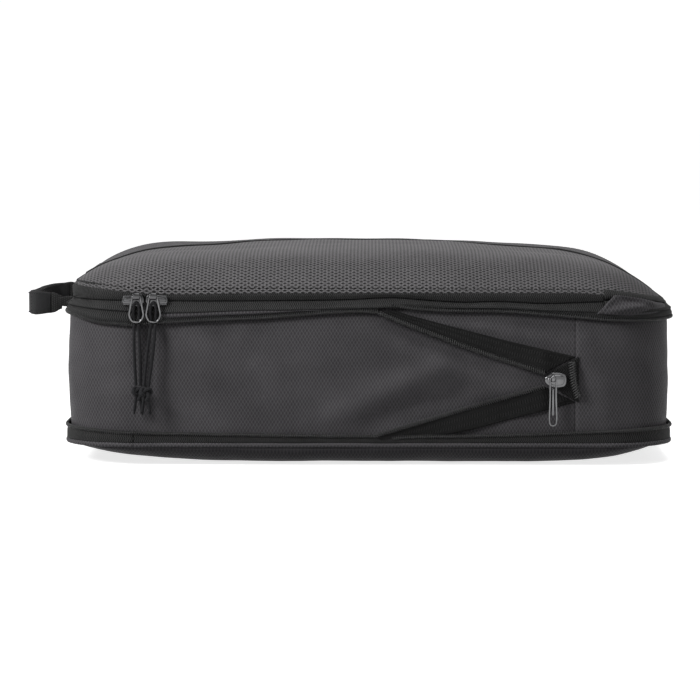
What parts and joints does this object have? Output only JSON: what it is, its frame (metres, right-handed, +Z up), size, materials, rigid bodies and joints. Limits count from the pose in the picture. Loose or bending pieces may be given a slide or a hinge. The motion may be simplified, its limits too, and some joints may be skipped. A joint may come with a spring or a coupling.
{
  "type": "compression packing cube",
  "caption": "Soft zipped luggage organiser with a mesh-fronted lid, a second zip round its folding walls that squeezes it flatter, and a webbing grab handle.",
  "frame": {"origin": "centre of the flat patch of the bottom panel that the cube rests on", "axes": "+Z up through the lid, +X along the long side from the handle to the lid's hinge, -Y towards the side with the zip pulls"},
  "size_m": [0.391, 0.2703, 0.1276],
  "materials": {
    "ripstop": "dark grey ripstop nylon with a lighter diamond grid",
    "mesh": "grey polyester hexagonal mesh",
    "zip_tape": "black herringbone zip tape",
    "zip_coil": "black nylon coil",
    "binding": "black grosgrain binding",
    "gunmetal": "gunmetal-plated zinc",
    "wire": "dark nickel-plated wire",
    "cord": "black braided cord",
    "webbing": "black nylon webbing",
    "sleeve": "black woven sleeve, blank"
  },
  "bodies": {
    "base": {"bottom_panel": "ripstop", "bottom_edge_fold": "ripstop", "inner_bottom_binding": "binding", "gusset_main": "ripstop", "gusset_hinge_end": "ripstop", "lower_zip_tape": "zip_tape", "lower_zip_coil": "zip_coil", "lower_start_tape": "zip_tape", "lower_start_coil": "zip_coil", "upper_start_tape": "zip_tape", "upper_start_coil": "zip_coil", "start_tape_end": "zip_tape"},
    "rim": {"upper_zip_tape": "zip_tape", "upper_zip_coil": "zip_coil", "rim_strip": "ripstop", "inner_rim_binding": "binding", "main_zip_lower_tape": "zip_tape", "main_zip_lower_coil": "zip_coil", "hinge_fabric_lower": "zip_tape", "zip_end_tab_front": "ripstop", "zip_end_tab_back": "ripstop", "handle_anchor_front": "webbing", "handle_anchor_back": "webbing"},
    "zip_start": {"start_coil_tail": "zip_coil"},
    "comp_slider": {"compression_slider_body": "gunmetal"},
    "comp_pull": {"compression_pull_tab": "wire"},
    "lid": {"lid_mesh_panel": "mesh", "lid_solid_panel": "ripstop", "lid_seam_piping": "binding", "main_zip_upper_tape": "zip_tape", "main_zip_upper_coil": "zip_coil", "hinge_fabric_upper": "zip_tape"},
    "slider_left": {"main_slider_left": "gunmetal"},
    "ring_left": {"pull_ring_left": "wire", "pull_cord_left_a": "cord", "pull_cord_left_b": "cord", "pull_knot_left": "cord"},
    "slider_right": {"main_slider_right": "gunmetal"},
    "ring_right": {"pull_ring_right": "wire", "pull_cord_right_a": "cord", "pull_cord_right_b": "cord", "pull_knot_right": "cord"},
    "handle": {"handle_strap": "webbing", "handle_label": "sleeve"}
  },
  "joints": [
    {"name": "compress", "type": "slide", "parent": "base", "child": "rim", "axis": [0, 0, -1], "range_m": [0, 0.062], "deforming": ["gusset_main", "gusset_hinge_end", "lower_start_tape", "lower_start_coil", "upper_start_tape", "upper_start_coil", "start_tape_end"]},
    {"name": "zip_start_drop", "type": "slide", "parent": "base", "child": "zip_start", "axis": [0, 0, -1], "range_m": [0, 0.0295]},
    {"name": "compression_zip", "type": "slide", "parent": "zip_start", "child": "comp_slider", "axis": [-1, 0, 0], "range_m": [0, 0.1]},
    {"name": "compression_pull", "type": "hinge", "parent": "comp_slider", "child": "comp_pull", "pos_m": [0.1089, -0.1331, 0.0527], "axis": [-1, 0, 0], "range_deg": [0, 110]},
    {"name": "lid_hinge", "type": "hinge", "parent": "rim", "child": "lid", "pos_m": [0.1806, 0, 0.0985], "axis": [0, 1, 0], "range_deg": [0, 170]},
    {"name": "main_zip_left", "type": "hinge", "parent": "rim", "child": "slider_left", "pos_m": [-0.139, -0.088, 0.0985], "axis": [0, 0, -1], "range_deg": [0, 90]},
    {"name": "ring_left_swing", "type": "hinge", "parent": "slider_left", "child": "ring_left", "pos_m": [-0.1371, -0.131, 0.1011], "axis": [-1, 0, 0], "range_deg": [0, 110]},
    {"name": "main_zip_right", "type": "slide", "parent": "rim", "child": "slider_right", "axis": [1, 0, 0], "range_m": [0, 0.25]},
    {"name": "ring_right_swing", "type": "hinge", "parent": "slider_right", "child": "ring_right", "pos_m": [-0.1271, -0.131, 0.1011], "axis": [-1, 0, 0], "range_deg": [0, 110]},
    {"name": "handle_flex", "type": "hinge", "parent": "rim", "child": "handle", "pos_m": [-0.1873, 0, 0.0936], "axis": [0, 1, 0], "range_deg": [-80, 80], "stiffness_Nm_per_rad": 0.01}
  ],
  "couplings": [
    {"joint": "zip_start_drop", "follows": "compress", "ratio": 0.4653}
  ]
}
